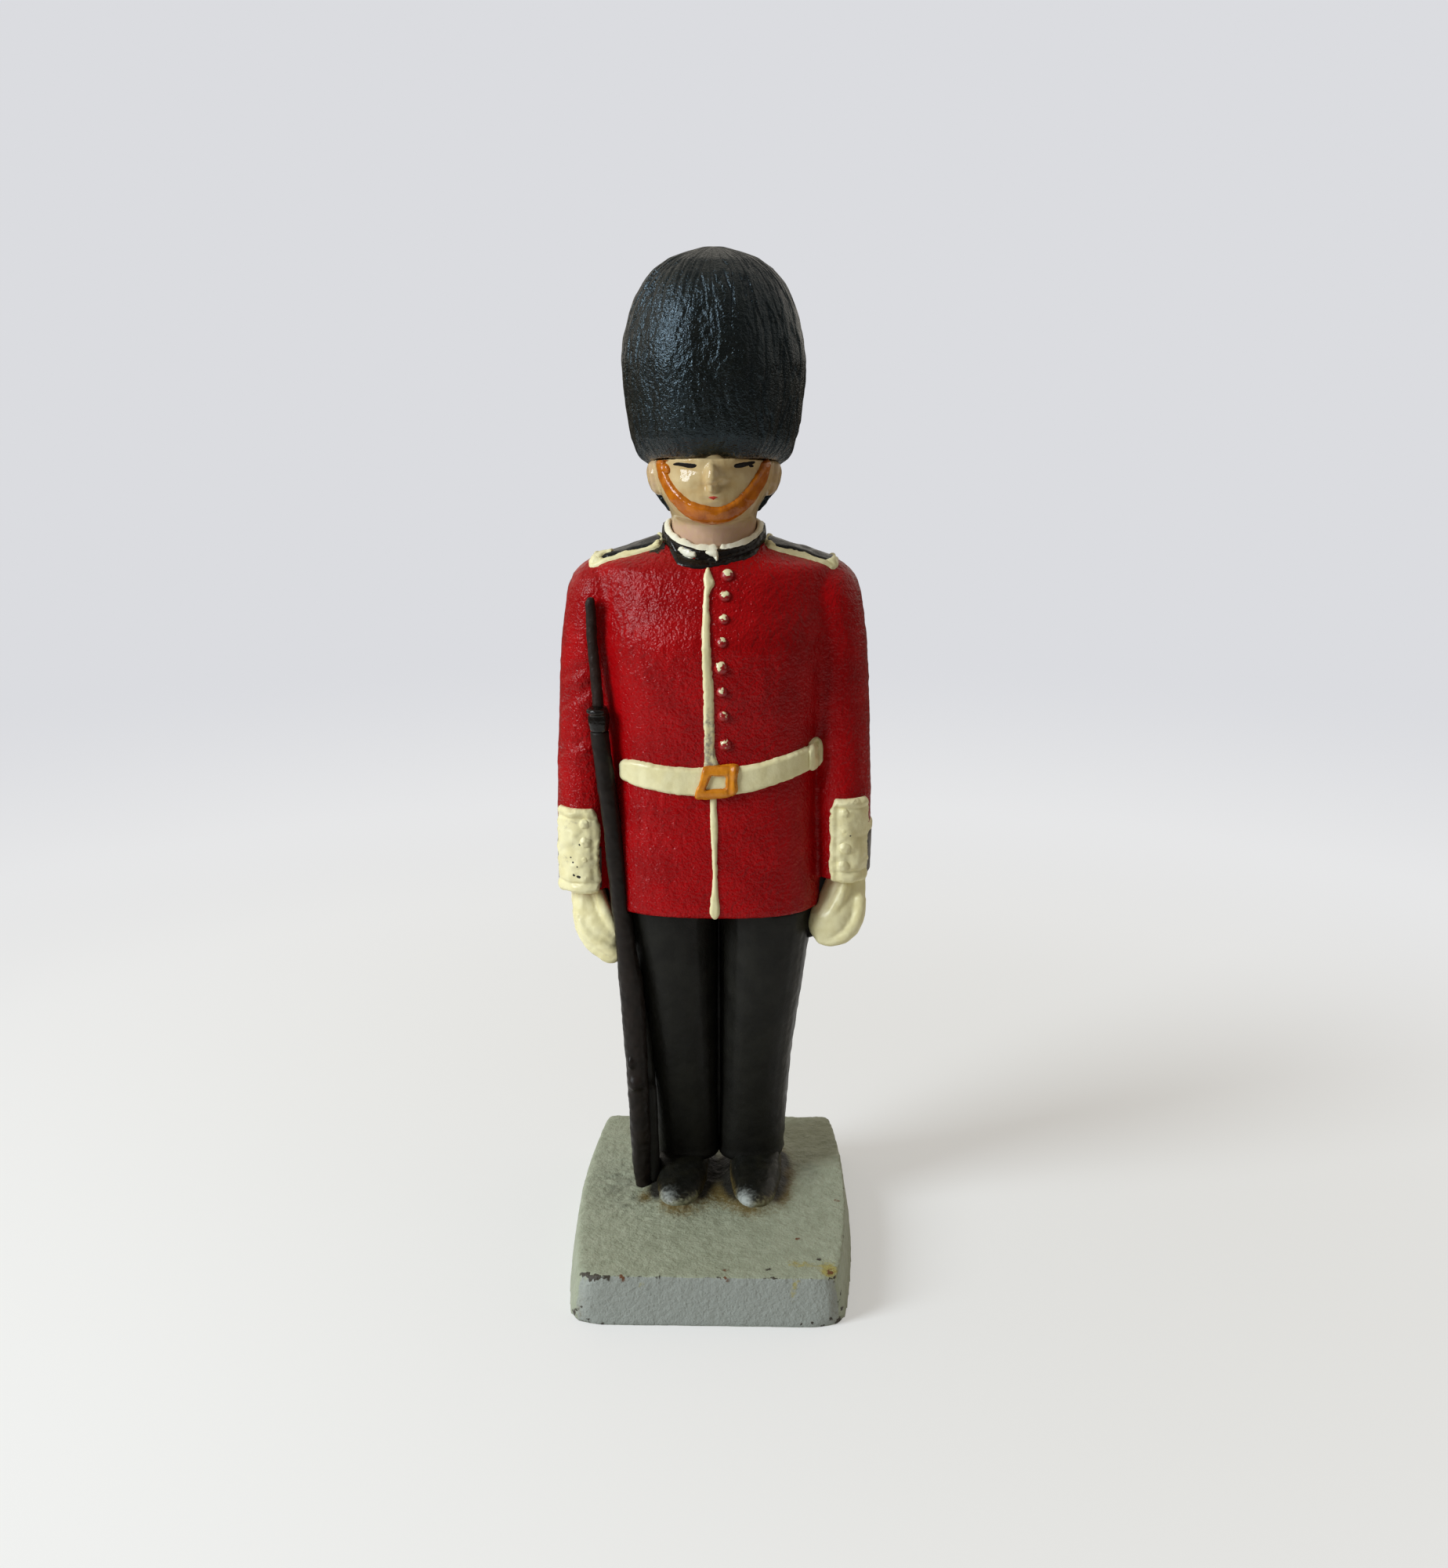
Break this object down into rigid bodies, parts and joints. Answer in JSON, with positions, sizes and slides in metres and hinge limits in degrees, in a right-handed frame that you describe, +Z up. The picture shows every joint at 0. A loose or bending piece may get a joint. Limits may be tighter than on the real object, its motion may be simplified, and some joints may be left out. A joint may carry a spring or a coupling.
{
  "type": "toy soldier figure",
  "caption": "Painted cast toy foot guard standing at attention on a bevelled plinth, with a tall fur cap, belted tunic, upright rifle and a head that turns in its collar.",
  "frame": {"origin": "middle of the plinth's underside, on the surface it stands on", "axes": "+Z up along the figure, -Y the way the figure faces, +X towards the figure's left hand"},
  "size_m": [0.0654, 0.077, 0.202],
  "materials": {
    "plinth_grey": "satin",
    "steel": "bare",
    "boot_black": "gloss",
    "trouser_black": "satin",
    "tunic_red": "gloss",
    "trim_white": "gloss",
    "trim_ochre": "gloss",
    "trim_black": "gloss",
    "bush_brass": "turned",
    "skin": "gloss",
    "fur_black": "satin",
    "rifle_brown": "satin"
  },
  "bodies": {
    "figure": {"plinth": "plinth_grey", "tie_rods": "steel", "tie_nuts": "steel", "right_boot": "boot_black", "left_boot": "boot_black", "right_trouser_leg": "trouser_black", "left_trouser_leg": "trouser_black", "tunic_front": "tunic_red", "tunic_back": "tunic_red", "tunic_screws": "steel", "right_sleeve": "tunic_red", "left_sleeve": "tunic_red", "belt_front": "trim_white", "belt_back": "trim_white", "belt_buckle": "trim_ochre", "belt_keeper": "trim_white", "front_piping_upper": "trim_white", "front_piping_lower": "trim_white", "tunic_buttons": "trim_white", "collar": "trim_black", "collar_lining": "trim_white", "collar_badge": "trim_white", "right_shoulder_strap": "trim_black", "left_shoulder_strap": "trim_black", "right_strap_edging": "trim_white", "left_strap_edging": "trim_white", "right_cuff": "trim_black", "left_cuff": "trim_black", "right_cuff_piping": "trim_white", "left_cuff_piping": "trim_white", "right_cuff_slash": "trim_white", "left_cuff_slash": "trim_white", "cuff_buttons": "trim_white", "right_glove": "trim_white", "left_glove": "trim_white", "neck_socket": "bush_brass", "rifle_stock": "rifle_brown", "rifle_barrel": "rifle_brown", "rifle_nose_cap": "rifle_brown"},
    "head": {"neck_spigot": "steel", "head": "skin", "chin_strap": "trim_ochre", "hair": "fur_black", "bearskin": "fur_black"}
  },
  "joints": [
    {"name": "head_turn", "type": "hinge", "parent": "figure", "child": "head", "pos_m": [0, 0.011, 0.1434], "axis": [0, 0, 1], "range_deg": [-45, 45]}
  ]
}
